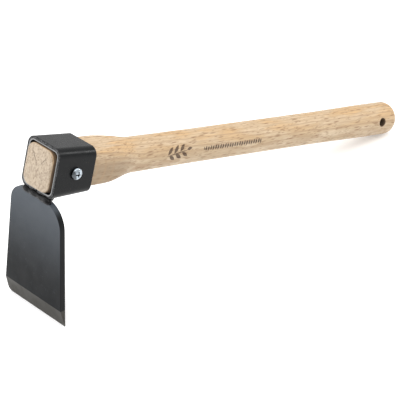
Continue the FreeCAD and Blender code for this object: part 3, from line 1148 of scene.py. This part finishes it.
@dataclass(frozen=True)
class WeldPaint(SatinPaint):
    """Gloss black run thick over the weld metal.

    Attributes:
        soot: The colour of its dull patches.
        ior: The index of refraction that gives its weak, sharp reflections.
    """

    name: str = "weld_gloss_black"
    film: Colour = (0.004, 0.004, 0.0045)
    dust_and_sheen: Colour = (0.008, 0.008, 0.009)
    specular: float = 0.5
    gloss: Span = (0.13, 0.2)
    soot: Colour = (0.015, 0.015, 0.015)
    ior: float = 1.22

    def build(self, axes: ToolAxes, effects: Effects) -> bpy.types.Material:
        """Makes the material.

        Args:
            axes: The tool's axes.
            effects: The shared effects.

        Returns:
            The material.
        """
        material, graph, shader, vector, colour = self.start(axes, effects)
        shader.inputs["IOR"].default_value = self.ior
        patches = graph.fade(graph.noise(vector, 0.3, 2.0), 0.45, 0.7)
        graph.feed(shader.inputs["Base Color"],
                   graph.blend(graph.product(patches, 0.4), colour, self.soot))
        return material


@dataclass(frozen=True)
class BrightZinc:
    """Bright zinc plate on the screw, darker round its foot and in its cross recess, with a
    painted shade crescent on its front side.

    Attributes:
        plate: The bright plating.
        dull: Its dull patches.
        dark_tone: The dark colour round the head's foot, in the recess and in the painted shade
            crescent.
        recess_reach: How far the cross reaches from the screw's axis.
        head_height: The crown's height over the eye's flank.
        crown_fall: How fast the crown falls with the square of the distance.
        sunk: How far below the crown the grime starts, and is full.
        foot: From what height to what height over the flank the dark ring fades.
        painted_shade_crescent: From where to where the painted shade on the front side deepens.
    """

    plate: Colour = (0.47, 0.53, 0.58)
    dull: Colour = (0.22, 0.25, 0.29)
    dark_tone: Colour = (0.03, 0.03, 0.03)
    recess_reach: float = 3.3
    head_height: float = 4.1
    crown_fall: float = 0.058
    sunk: Span = (0.15, 1.0)
    foot: Span = (0.25, 1.15)
    painted_shade_crescent: Span = (-1.9, -3.6)

    def build(self, axes: ToolAxes, effects: Effects) -> bpy.types.Material:
        """Makes the material.

        Args:
            axes: The tool's axes.
            effects: The shared effects.

        Returns:
            The material.
        """
        material, graph, shader = new_material("bright_zinc")
        vector = graph.tool_vector(axes)
        x, y, z = graph.parts(vector)
        seat_x, seat_y, seat_z = axes.screw_seat
        along = graph.minus(x, seat_x)
        up = graph.minus(z, seat_z)
        out = graph.minus(seat_y, y)
        reach = graph.length(along, up)
        crown = graph.minus(self.head_height, graph.product(reach, reach, self.crown_fall))
        within = graph.math("LESS_THAN", reach, self.recess_reach)
        recess = graph.product(graph.fade(graph.minus(crown, out), *self.sunk), within)
        blotch = graph.fade(graph.noise(vector, 0.8, 3.0), 0.38, 0.66)
        colour = graph.blend(graph.product(blotch, 0.6), self.plate, self.dull)
        colour = graph.blend(graph.fade(out, *self.foot, 0.8, 0.0), colour, self.dark_tone)
        # Painted shade: a dark crescent on the head's front side.
        front_side = graph.math("MULTIPLY_ADD", up, 0.35, along)
        colour = graph.blend(graph.fade(front_side, *self.painted_shade_crescent, 0.0, 0.82), colour,
                             self.dark_tone)
        colour = graph.blend(graph.product(recess, 0.9), colour, self.dark_tone)
        graph.feed(shader.inputs["Base Color"], colour)
        specks = graph.place(effects.specks, Vector=vector, Scale=2.0, Cover=0.4)
        graph.feed(shader.inputs["Roughness"],
                   graph.math("MULTIPLY_ADD", specks.outputs["Mask"], 0.25, 0.2))
        shader.inputs["Metallic"].default_value = 1.0
        turned = graph.noise(graph.vector(graph.product(reach, 3.0), 0.0, 0.0), 1.0, 1.0)
        graph.feed(shader.inputs["Normal"], graph.bump(turned, 0.02))
        return material


# ---- Sub-assemblies ----

@dataclass(frozen=True)
class Wave:
    """A sine wave: its height, how fast it turns and where it starts."""

    height: float
    rate: float
    start: float = 0.0

    def at(self, place: float) -> float:
        """The wave's value at a place."""
        return self.height * math.sin(self.rate * place + self.start)


@dataclass
class Handle:
    """The wooden handle: a square head, a turned flare and neck, a round grip and tail.

    Attributes:
        axes: The tool's axes.
        length: From the eye's front face to the end of the tail.
        neck_radius: The radius behind the flare.
        grip_radius: The radius of the slim grip.
        tail_radius: The radius of the tail.
        grip_taper_run: How long the neck takes to come down to the grip.
        tail_swell_run: How long the grip takes to swell to the tail.
        tail_plain_run: The straight stretch of the tail.
        tail_rounding: The radius of the tail's rounded end.
        nose_front: Where the nose ends, ahead of the eye.
        nose_easing: The radius of its eased rim.
        nose_easing_end: How far back the easing's waves reach.
        nose_waves: What makes the eased rim uneven, round the nose.
        seat_start: Where the nose has grown to the eye's inside.
        flare_start: Where the turned flare begins.
        flare_length: The length of its convex part.
        neck_length: The length of its hollow part.
        flare_angles: Its slope at its start and where it turns hollow, in degrees.
        seat_half_width: Half the width of the eye's inside.
        seat_half_height: Half its height at the eye's front.
        nose_half_width: Half the width of the nose.
        nose_half_height: Half its height.
        nose_corner: The radius of its corners.
        head_corner: The radius of the head's corners where the flare begins.
        nose_shift: How far the nose sits off centre.
        blending: How far the turned and squared forms run into each other.
        hole_radius: The hanging hole's radius.
        hole_chamfer: How deep its flared mouths are.
        pilot_radius: The radius of the screw's pilot hole.
        pilot_length: How deep it goes below the head.
        pilot_tip: The length of its pointed end.
        overrun: How far the hole's cutter stands out of the wood.
        pilot_overrun: How far the pilot hole's cutter stands out.
        segments: How many vertices a ring has.
        step: About how far apart the rings are.
        nose_steps: How many steps the nose's easing has.
        tail_steps: How many steps the tail's rounding has.
        end_rounds: How many inset rings close each end.
        sharp_angle: Edges that turn by more than this many degrees stay sharp.
    """

    axes: ToolAxes
    length: float = 495.2
    neck_radius: float = 17.1
    grip_radius: float = 16.6
    tail_radius: float = 17.4
    grip_taper_run: float = 79.0
    tail_swell_run: float = 80.0
    tail_plain_run: float = 34.0
    tail_rounding: float = 11.0
    nose_front: float = -3.0
    nose_easing: float = 1.6
    nose_easing_end: float = 6.0
    nose_waves: tuple[Wave, ...] = (Wave(0.3, 2.0, 0.8), Wave(0.16, 5.0))
    seat_start: float = 14.0
    flare_start: float = 62.0
    flare_length: float = 30.0
    neck_length: float = 19.0
    flare_angles: Span = (5.7, 15.1)
    seat_half_width: float = 19.0
    seat_half_height: float = 20.8
    nose_half_width: float = 18.0
    nose_half_height: float = 20.5
    nose_corner: float = 9.0
    head_corner: float = 4.0
    nose_shift: float = 0.5
    blending: float = 1.2
    hole_radius: float = 4.5
    hole_chamfer: float = 0.7
    pilot_radius: float = 2.45
    pilot_length: float = 25.0
    pilot_tip: float = 5.0
    overrun: float = 6.0
    pilot_overrun: float = 8.0
    segments: int = 128
    step: float = 2.4
    nose_steps: int = 5
    tail_steps: int = 12
    end_rounds: int = 3
    sharp_angle: float = 32.0

    def arc_fall(self, share_run: float, run: float, start: float, end: float) -> float:
        """How far an arc falls.

        Args:
            share_run: How far along the arc.
            run: The arc's whole length along X.
            start: Its slope at its start, in degrees.
            end: Its slope at its end, in degrees.

        Returns:
            The fall.
        """
        first, last = math.sin(math.radians(start)), math.sin(math.radians(end))
        radius = run / (last - first)
        slope = math.asin(first + share_run / radius)
        return radius * (math.cos(math.radians(start)) - math.cos(slope))

    def turned_radius(self, x: float) -> float:
        """The radius that the lathe leaves at x, before the tail."""
        slope, steep = self.flare_angles
        neck_start = self.flare_start + self.flare_length
        neck_end = neck_start + self.neck_length
        neck_top = self.neck_radius + self.arc_fall(self.neck_length, self.neck_length, steep, 0.0)
        flare_top = neck_top + self.arc_fall(self.flare_length, self.flare_length, slope, steep)
        if x < self.flare_start:
            return flare_top + (self.flare_start - x) * math.tan(math.radians(slope))
        if x < neck_start:
            return flare_top - self.arc_fall(x - self.flare_start, self.flare_length, slope, steep)
        if x < neck_end:
            return neck_top - self.arc_fall(x - neck_start, self.neck_length, steep, 0.0)
        if x < neck_end + self.grip_taper_run:
            share = (x - neck_end) / self.grip_taper_run
            return lerp(self.neck_radius, self.grip_radius, share)
        swell_end = self.length - self.tail_rounding - self.tail_plain_run
        share = (x - swell_end + self.tail_swell_run) / self.tail_swell_run
        return lerp(self.grip_radius, self.tail_radius, min(max(share, 0.0), 1.0))

    def head_section(self, x: float) -> tuple[float, float, float, float]:
        """The square head at x, as half its width, half its height, corner and shift."""
        fall = self.axes.eye_fall
        seat_run = self.flare_start - self.seat_start
        seat_corner = lerp(self.head_corner, self.nose_corner,
                           (self.axes.eye_depth - self.seat_start) / seat_run)
        if x < self.seat_start:
            share = (x - self.nose_front) / (self.seat_start - self.nose_front)
            seat_height = self.seat_half_height - self.seat_start * fall
            return (lerp(self.nose_half_width, self.seat_half_width, share),
                    lerp(self.nose_half_height, seat_height, share),
                    lerp(self.nose_corner, seat_corner, share),
                    lerp(self.nose_shift, 0.0, share))
        reach = min(x, self.flare_start)
        return (self.seat_half_width, self.seat_half_height - reach * fall,
                lerp(seat_corner, self.head_corner, (reach - self.seat_start) / seat_run), 0.0)

    def squared_radius(self, x: float, angle: float, inset: float) -> float:
        """How far the square head reaches from its middle at an angle.

        Args:
            x: Where along the handle.
            angle: The direction, from +Y towards +Z.
            inset: How far the outline is drawn in.

        Returns:
            The distance.
        """
        width, height, corner, _ = self.head_section(x)
        width, height, corner = width - inset, height - inset, max(corner - inset, 0.5)
        across, up = abs(math.cos(angle)), abs(math.sin(angle))
        if up * width <= across * (height - corner):
            return width / across
        if across * height <= up * (width - corner):
            return height / up
        centre = Vector((width - corner, height - corner))
        ahead = centre.dot(Vector((across, up)))
        return ahead + math.sqrt(ahead * ahead - centre.length_squared + corner * corner)

    def stations(self) -> list[tuple[float, float]]:
        """Where the rings lie, as (x, how far the section is drawn in)."""
        places = []
        for turn in range(self.nose_steps + 1):
            angle = math.radians(90.0 * turn / self.nose_steps)
            places.append((self.nose_front + self.nose_easing * (1.0 - math.sin(angle)),
                           self.nose_easing * (1.0 - math.cos(angle))))
        places.reverse()
        start = self.nose_front + self.nose_easing
        stop = self.length - self.tail_rounding
        count = round((stop - start) / self.step)
        places += [(lerp(start, stop, number / count), 0.0) for number in range(1, count + 1)]
        for turn in range(1, self.tail_steps + 1):
            angle = math.radians(90.0 * turn / self.tail_steps)
            places.append((stop + self.tail_rounding * math.sin(angle),
                           self.tail_rounding * (1.0 - math.cos(angle))))
        return places

    def surface_point(self, x: float, angle: float, inset: float) -> Vector:
        """A point of the wood's surface.

        Args:
            x: Where along the handle.
            angle: The direction from the axis, from +Y towards +Z.
            inset: How far the section is drawn in there.

        Returns:
            The point.
        """
        nose = ease(x, self.nose_easing_end, self.nose_front)
        eased = inset * (1.0 + nose * sum(wave.at(angle) for wave in self.nose_waves))
        squared = self.squared_radius(x, angle, eased)
        turned = self.turned_radius(x) - inset
        overlap = max(self.blending - abs(squared - turned), 0.0) / self.blending
        radius = min(squared, turned) - overlap * overlap * self.blending / 4.0
        shift = self.head_section(x)[3]
        return Vector((x, shift + radius * math.cos(angle), radius * math.sin(angle)))

    def drill(self) -> bpy.types.Object:
        """The hanging hole's cutter, with a flared mouth at each end."""
        turn = math.radians(self.axes.hole_turn)
        way = Vector((0.0, -math.cos(turn), math.sin(turn)))
        lip = self.tail_radius - self.hole_chamfer
        far = self.tail_radius + self.overrun
        mouth = self.hole_radius + far - lip
        profile = [(-far, 0.0), (-far, mouth), (-lip, self.hole_radius),
                   (lip, self.hole_radius), (far, mouth), (far, 0.0)]
        centre = Vector((self.axes.hole_from_front, 0.0, 0.0))
        return as_object("hole_cutter", spun(profile, 48, way, centre))

    def pilot(self) -> bpy.types.Object:
        """The screw's pilot hole, as its cutter."""
        straight = self.pilot_length - self.pilot_tip
        profile = [(-self.pilot_overrun, 0.0), (-self.pilot_overrun, self.pilot_radius),
                   (straight, self.pilot_radius), (self.pilot_length, 0.0)]
        return as_object("pilot_cutter", spun(profile, 24, Vector((0.0, 1.0, 0.0)),
                                              Vector(self.axes.screw_seat)))

    def build(self, material: bpy.types.Material) -> None:
        """Builds the handle and dresses it.

        Args:
            material: The wood.
        """
        places = self.stations()

        def place(number: int, angle: float) -> Vector:
            """The place of one vertex of the handle."""
            x, inset = places[number]
            return self.surface_point(x, angle, inset)

        piece = as_object("handle_wood", loft(len(places), self.segments, place,
                                             self.end_rounds))
        carve(piece, self.drill())
        carve(piece, self.pilot())
        lay_down(piece, self.axes, self.sharp_angle)
        adopt(piece, Slot.WOOD, material, "handle")


@dataclass(frozen=True)
class Lump:
    """A swelling of a weld bead: where it is, how far it reaches and how much it adds."""

    at: float
    reach: float
    swell: float

    def gain(self, y: float) -> float:
        """What the lump adds at y."""
        return self.swell * math.exp(-((y - self.at) / self.reach) ** 2)


@dataclass
class HeadWelds:
    """The three weld beads of the head.

    Attributes:
        axes: The tool's axes.
        eye_half_height: Half the eye's height at its front face.
        front_ends: Where the front bead starts and ends, across the blade.
        front_middle: The place of its middle line, as (X, Z).
        front_half: Half its depth and half its height.
        front_lumps: Where it swells and narrows.
        front_wander: How its middle line rises and falls.
        front_grain: How uneven its skin is.
        rear_half_length: Half the rear fillet's length.
        rear_reach: How far along the eye it reaches.
        rear_leg: How far down the blade's back it reaches.
        rear_hollow: How hollow its face is.
        rear_root: Its hidden corner, as (X, how far it is sunk into the eye).
        rear_face_share: How much of a ring lies on its open face.
        rear_ripple: How high its ripples stand.
        seam_half_width: Half the seam bead's width.
        seam_height: How far it stands out.
        seam_low: Its height between two ripples, as a share of the whole.
        seam_inset: From each of its ends to the eye's rim.
        ripple_pitch: From one ripple to the next.
        ripple_bow: How far a ripple's ends trail behind its middle.
        ripple_waver: How uneven the ripples' spacing is.
        ripple_blunt: How blunt they are: 1 is a sine, less is blunter.
        root_depth: How far the seam bead goes into the eye.
        end_power: How square a bead's ends are.
        end_least: The least share of a bead's section, at its very end.
        sharp_angle: Edges that turn by more than this many degrees stay sharp.
    """

    axes: ToolAxes
    eye_half_height: float = 24.8
    front_ends: Span = (-21.0, 19.0)
    front_middle: Span = (0.9, -26.65)
    front_half: Span = (3.0, 3.1)
    front_lumps: tuple[Lump, ...] = (
        Lump(15.0, 3.2, 0.16),
        Lump(8.6, 2.4, -0.16),
        Lump(3.2, 2.6, 0.1),
        Lump(-3.4, 2.6, -0.14),
        Lump(-14.5, 6.0, 0.2),
    )
    front_wander: Wave = Wave(0.18, 0.42, 0.6)
    front_grain: float = 0.02
    rear_half_length: float = 17.0
    rear_reach: float = 13.0
    rear_leg: float = 6.5
    rear_hollow: float = 0.9
    rear_root: Span = (3.4, 0.6)
    rear_face_share: float = 0.6
    rear_ripple: float = 0.32
    seam_half_width: float = 2.75
    seam_height: float = 0.8
    seam_low: float = 0.7
    seam_inset: float = 0.6
    ripple_pitch: float = 2.3
    ripple_bow: float = 0.45
    ripple_waver: Wave = Wave(0.12, 0.9)
    ripple_blunt: float = 0.7
    root_depth: float = 2.0
    end_power: int = 9
    end_least: float = 0.06
    sharp_angle: float = 50.0

    def eye_under(self, x: float) -> float:
        """The height of the eye's underside at x."""
        return -self.eye_half_height + x * self.axes.eye_fall

    def on_blade(self, depth: float, down: float) -> Vector:
        """A place in the plane Y = 0, from the blade's front face and top edge."""
        lean = math.radians(self.axes.blade_tilt)
        rise = depth * math.sin(lean) - down * math.cos(lean)
        return Vector((depth * math.cos(lean) + down * math.sin(lean), 0.0,
                       self.axes.blade_top + rise))

    def end_cap(self, share: float) -> float:
        """How full a bead's section is near its round ends.

        Args:
            share: How far along the bead, from 0 to 1.

        Returns:
            1 over most of it, falling to nearly 0 at each end.
        """
        off = abs(2.0 * share - 1.0)
        return max((1.0 - off ** self.end_power) ** 0.5, self.end_least)

    def ripple(self, distance: float, bow: float) -> float:
        """The height of the rippled bead surface, from 0 to 1.

        Args:
            distance: How far along the bead.
            bow: How far off its middle line, from 0 to 1.

        Returns:
            The height.
        """
        phase = (distance / self.ripple_pitch + self.ripple_bow * bow * bow
                 + self.ripple_waver.at(distance)) % 1.0
        return math.sin(math.pi * phase) ** self.ripple_blunt

    def front_place(self, rings: int) -> Callable[[int, float], Vector]:
        """The lumpy bead in front, as a placing function.

        Args:
            rings: How many rings it has.

        Returns:
            The function that places a vertex.
        """
        def place(number: int, angle: float) -> Vector:
            """The place of one vertex of the front bead."""
            share = number / (rings - 1)
            y = lerp(*self.front_ends, share)
            swell = 1.0 + sum(lump.gain(y) for lump in self.front_lumps)
            grain = 1.0 + self.front_grain * math.sin(2.0 * angle + y * 0.7)
            full = self.end_cap(share) * swell * grain
            half_depth, half_height = self.front_half
            middle_x, middle_z = self.front_middle
            return Vector((middle_x + half_depth * full * math.cos(angle), y,
                           middle_z + self.front_wander.at(y)
                           + half_height * full * math.sin(angle)))
        return place

    def rear_place(self, rings: int) -> Callable[[int, float], Vector]:
        """The rippled fillet behind the blade, as a placing function."""
        under = Vector((self.rear_reach, 0.0, self.eye_under(self.rear_reach)))
        foot = self.on_blade(self.axes.blade_thickness, self.rear_leg)
        root_x, sunk = self.rear_root
        corner = Vector((root_x, 0.0, self.eye_under(0.0) + sunk))
        face_end = self.rear_face_share
        side_share = (1.0 - face_end) / 2.0
        chord = foot - under
        inward = Vector((chord.z, 0.0, -chord.x)).normalized()
        if inward.dot(corner - under) < 0.0:
            inward = -inward

        def place(number: int, angle: float) -> Vector:
            """The place of one vertex of the rear fillet."""
            share = number / (rings - 1)
            y = lerp(-self.rear_half_length, self.rear_half_length, share)
            turn = (angle % math.tau) / math.tau
            if turn <= face_end:
                way = turn / face_end
                hollow = 4.0 * way * (1.0 - way)
                height = self.rear_ripple * self.ripple(y, 2.0 * way - 1.0) * hollow
                spot = under + chord * way + inward * (self.rear_hollow * hollow - height)
            elif turn <= face_end + side_share:
                spot = foot.lerp(corner, (turn - face_end) / side_share)
            else:
                spot = corner.lerp(under, (turn - face_end - side_share) / side_share)
            spot = corner.lerp(spot, self.end_cap(share))
            return Vector((spot.x, y, spot.z))
        return place

    def seam_place(self, rings: int) -> Callable[[int, float], Vector]:
        """The low rippled bead under the eye, as a placing function."""
        def place(number: int, angle: float) -> Vector:
            """The place of one vertex of the seam bead."""
            share = number / (rings - 1)
            x = lerp(self.seam_inset, self.axes.eye_depth - self.seam_inset, share)
            side = math.cos(angle)
            full = self.end_cap(share)
            if math.sin(angle) > 0.0:
                drop = -self.root_depth * math.sin(angle)
            else:
                drop = (-math.sin(angle) * self.seam_height
                        * lerp(self.seam_low, 1.0, self.ripple(x, side)))
            return Vector((x, self.seam_half_width * side * full,
                           self.eye_under(x) - drop * full))
        return place

    def build(self, material: bpy.types.Material) -> None:
        """Builds the three beads and dresses them.

        Args:
            material: The paint on the welds.
        """
        beads = (("front_bead", "front_weld", self.front_place, 121, 40),
                 ("rear_fillet", "rear_weld", self.rear_place, 141, 50),
                 ("eye_seam_bead", "eye_seam_weld", self.seam_place, 161, 32))
        for name, node, placing, rings, segments in beads:
            piece = as_object(name, loft(rings, segments, placing(rings)))
            lay_down(piece, self.axes, self.sharp_angle)
            adopt(piece, Slot.WELD, material, node)


# ---- Studio ----

@dataclass(frozen=True)
class SoftBox:
    """One soft light.

    Attributes:
        name: Its name.
        place: Where it hangs, in metres.
        aim: What it points at.
        size: Its width and height.
        power: Its power in watts.
        colour: Its colour.
    """

    name: str
    place: Place
    aim: Place
    size: Span
    power: float
    colour: Colour = (1.0, 1.0, 1.0)

    def build(self) -> None:
        """Hangs the light, out of the camera's sight."""
        data = bpy.data.lights.new(self.name, "AREA")
        data.shape = "RECTANGLE"
        data.size, data.size_y = self.size
        data.energy = self.power
        data.color = self.colour
        lamp = bpy.data.objects.new(self.name, data)
        lamp.location = self.place
        way = Vector(self.aim) - Vector(self.place)
        lamp.rotation_euler = way.to_track_quat("-Z", "Y").to_euler()
        lamp.visible_camera = False
        bpy.context.scene.collection.objects.link(lamp)


@dataclass
class Studio:
    """A plain pale floor, soft light and the camera.

    Attributes:
        floor_size: The length of the floor's side, in metres.
        floor_colour: Its colour.
        floor_glow: How much light it gives off, as a light table does.
        floor_roughness: Its roughness.
        floor_specular: Its specular level.
        surround: The strength of the even white light all round.
        aim: What the camera points at, in metres.
        distance: From there to the camera.
        heading: The camera's compass heading, in degrees.
        down: How far it looks down.
        roll: How far it is rolled.
        lens: Its focal length in millimetres.
        boxes: The soft lights.
    """

    floor_size: float = 12.0
    floor_colour: Colour = (0.88, 0.88, 0.88)
    floor_glow: float = 0.22
    floor_roughness: float = 0.9
    floor_specular: float = 0.1
    surround: float = 0.92
    aim: Place = (-0.03822, -0.00524, 0.03297)
    distance: float = 1.84125
    heading: float = 43.012
    down: float = 32.453
    roll: float = -0.166
    lens: float = 166.38
    boxes: tuple[SoftBox, ...] = (
        SoftBox("left_box", (-0.68, 0.38, 0.26), (-0.24, 0.0, 0.12), (0.5, 0.5), 1.8),
        SoftBox("side_box", (0.95, -0.55, 0.62), (-0.2, 0.0, 0.14), (0.3, 0.3), 3.2),
        SoftBox("glint_box", (-0.75, -0.25, 0.95), (-0.22, 0.0, 0.12), (0.09, 0.09), 1.1),
        SoftBox("top_box", (0.0, 0.1, 1.6), (0.0, 0.0, 0.0), (2.6, 2.4), 25.0),
    )

    def build_floor(self) -> None:
        """Lays the floor."""
        bm = bmesh.new()
        bmesh.ops.create_grid(bm, x_segments=2, y_segments=2, size=self.floor_size / 2)
        floor = as_object("floor", bm)
        material, graph, shader = new_material("floor_white")
        graph.feed(shader.inputs["Base Color"], (*self.floor_colour, 1.0))
        shader.inputs["Emission Color"].default_value = (1.0, 1.0, 1.0, 1.0)
        shader.inputs["Emission Strength"].default_value = self.floor_glow
        shader.inputs["Roughness"].default_value = self.floor_roughness
        shader.inputs["Specular IOR Level"].default_value = self.floor_specular
        floor.data.materials.append(material)

    def build_world(self) -> None:
        """Surrounds the scene with even white light."""
        world = bpy.data.worlds.new("surround")
        world.use_nodes = True
        background = world.node_tree.nodes["Background"]
        background.inputs["Color"].default_value = (1.0, 1.0, 1.0, 1.0)
        background.inputs["Strength"].default_value = self.surround
        bpy.context.scene.world = world
        bpy.context.scene.view_settings.view_transform = "Standard"

    def build_camera(self) -> None:
        """Sets up the camera."""
        data = bpy.data.cameras.new("camera")
        data.lens = self.lens
        camera = bpy.data.objects.new("camera", data)
        turn, dip = math.radians(self.heading), math.radians(self.down)
        forward = Vector((math.sin(turn) * math.cos(dip), math.cos(turn) * math.cos(dip),
                          -math.sin(dip)))
        camera.location = Vector(self.aim) - forward * self.distance
        level = Euler((math.pi / 2 - dip, 0.0, -turn)).to_matrix()
        roll = Matrix.Rotation(math.radians(self.roll), 3, "Z")
        camera.rotation_euler = (level @ roll).to_euler()
        bpy.context.scene.collection.objects.link(camera)
        bpy.context.scene.camera = camera

    def build(self) -> None:
        """Builds the whole studio."""
        self.build_floor()
        self.build_world()
        self.build_camera()
        for box in self.boxes:
            box.build()


def main() -> None:
    """Builds the tool and the studio in order."""
    logging.basicConfig(level=logging.INFO, format="%(name)s: %(message)s")
    axes = ToolAxes.from_record(frame["record"])
    effects = Effects.build()
    Handle(axes).build(OiledWood().build(axes, effects))
    HeadWelds(axes).build(WeldPaint().build(axes, effects))
    dress("eye_band", SatinPaint().build(axes, effects))
    dress("blade", BladePaint().build(axes, effects))
    dress("flank_screw", BrightZinc().build(axes, effects))
    Studio().build()


if __name__ == "__main__":
    main()
